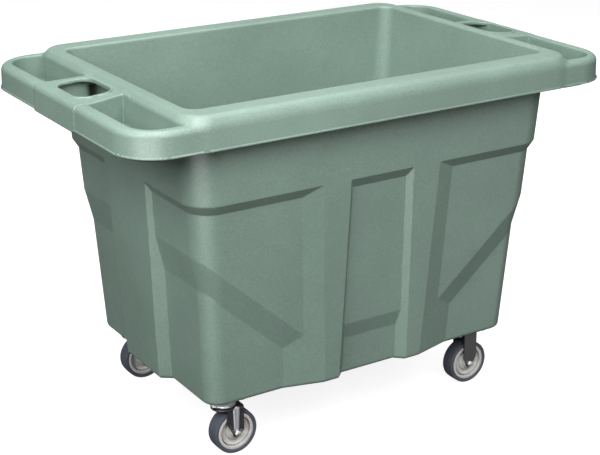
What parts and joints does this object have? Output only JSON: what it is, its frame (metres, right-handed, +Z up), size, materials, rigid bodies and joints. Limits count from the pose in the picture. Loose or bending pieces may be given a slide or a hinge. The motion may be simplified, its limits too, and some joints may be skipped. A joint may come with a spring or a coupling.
{
  "type": "four-caster bulk cart",
  "caption": "Moulded tub cart with recessed corner panels, a rolled rim, a grip rail with hand hole at each end, swivel casters at one end and rigid ones at the other.",
  "frame": {"origin": "centre of the footprint, on the floor under the wheels", "axes": "+X along the long side towards the rigid casters, +Y across the width, +Z up"},
  "size_m": [1.1812, 0.7162, 0.7927],
  "materials": {
    "moulded_polyethylene": "satin, fine moulded grain, grey-green",
    "zinc_steel": "bright zinc plate",
    "black_steel": "gloss black enamel on pressed steel",
    "hub_nylon": "light warm grey moulding",
    "tyre_rubber": "dark blue-grey rubber tread"
  },
  "bodies": {
    "cart": {"tub_body": "moulded_polyethylene", "front_swivel_plate_bolt_1": "zinc_steel", "front_swivel_plate_bolt_2": "zinc_steel", "front_swivel_plate_bolt_3": "zinc_steel", "front_swivel_plate_bolt_4": "zinc_steel", "front_swivel_plate": "zinc_steel", "front_swivel_race_cup": "zinc_steel", "front_swivel_kingpin": "zinc_steel", "front_swivel_king_nut": "zinc_steel", "rear_swivel_plate_bolt_1": "zinc_steel", "rear_swivel_plate_bolt_2": "zinc_steel", "rear_swivel_plate_bolt_3": "zinc_steel", "rear_swivel_plate_bolt_4": "zinc_steel", "rear_swivel_plate": "zinc_steel", "rear_swivel_race_cup": "zinc_steel", "rear_swivel_kingpin": "zinc_steel", "rear_swivel_king_nut": "zinc_steel", "front_rigid_plate_bolt_1": "zinc_steel", "front_rigid_plate_bolt_2": "zinc_steel", "front_rigid_plate_bolt_3": "zinc_steel", "front_rigid_plate_bolt_4": "zinc_steel", "front_rigid_bracket": "black_steel", "front_rigid_axle_sleeve": "zinc_steel", "front_rigid_axle_bolt": "zinc_steel", "front_rigid_axle_nut": "zinc_steel", "rear_rigid_plate_bolt_1": "zinc_steel", "rear_rigid_plate_bolt_2": "zinc_steel", "rear_rigid_plate_bolt_3": "zinc_steel", "rear_rigid_plate_bolt_4": "zinc_steel", "rear_rigid_bracket": "black_steel", "rear_rigid_axle_sleeve": "zinc_steel", "rear_rigid_axle_bolt": "zinc_steel", "rear_rigid_axle_nut": "zinc_steel"},
    "front_swivel_fork_body": {"front_swivel_fork": "black_steel", "front_swivel_ball_race": "zinc_steel", "front_swivel_axle_sleeve": "zinc_steel", "front_swivel_axle_bolt": "zinc_steel", "front_swivel_axle_nut": "zinc_steel"},
    "front_swivel_wheel": {"front_swivel_wheel_core": "hub_nylon", "front_swivel_tyre": "tyre_rubber"},
    "rear_swivel_fork_body": {"rear_swivel_fork": "black_steel", "rear_swivel_ball_race": "zinc_steel", "rear_swivel_axle_sleeve": "zinc_steel", "rear_swivel_axle_bolt": "zinc_steel", "rear_swivel_axle_nut": "zinc_steel"},
    "rear_swivel_wheel": {"rear_swivel_wheel_core": "hub_nylon", "rear_swivel_tyre": "tyre_rubber"},
    "front_rigid_wheel": {"front_rigid_wheel_core": "hub_nylon", "front_rigid_tyre": "tyre_rubber"},
    "rear_rigid_wheel": {"rear_rigid_wheel_core": "hub_nylon", "rear_rigid_tyre": "tyre_rubber"}
  },
  "joints": [
    {"name": "front_swivel_swivel", "type": "hinge", "parent": "cart", "child": "front_swivel_fork_body", "pos_m": [-0.3368, -0.2146, 0.115], "axis": [0, 0, 1], "continuous": true},
    {"name": "front_swivel_wheel_spin", "type": "hinge", "parent": "front_swivel_fork_body", "child": "front_swivel_wheel", "pos_m": [-0.3148, -0.2146, 0.0508], "axis": [0, 1, 0], "continuous": true},
    {"name": "rear_swivel_swivel", "type": "hinge", "parent": "cart", "child": "rear_swivel_fork_body", "pos_m": [-0.3368, 0.2146, 0.115], "axis": [0, 0, 1], "continuous": true},
    {"name": "rear_swivel_wheel_spin", "type": "hinge", "parent": "rear_swivel_fork_body", "child": "rear_swivel_wheel", "pos_m": [-0.3148, 0.2146, 0.0508], "axis": [0, 1, 0], "continuous": true},
    {"name": "front_rigid_wheel_spin", "type": "hinge", "parent": "cart", "child": "front_rigid_wheel", "pos_m": [0.3148, -0.2146, 0.0508], "axis": [0, 1, 0], "continuous": true},
    {"name": "rear_rigid_wheel_spin", "type": "hinge", "parent": "cart", "child": "rear_rigid_wheel", "pos_m": [0.3148, 0.2146, 0.0508], "axis": [0, 1, 0], "continuous": true}
  ]
}
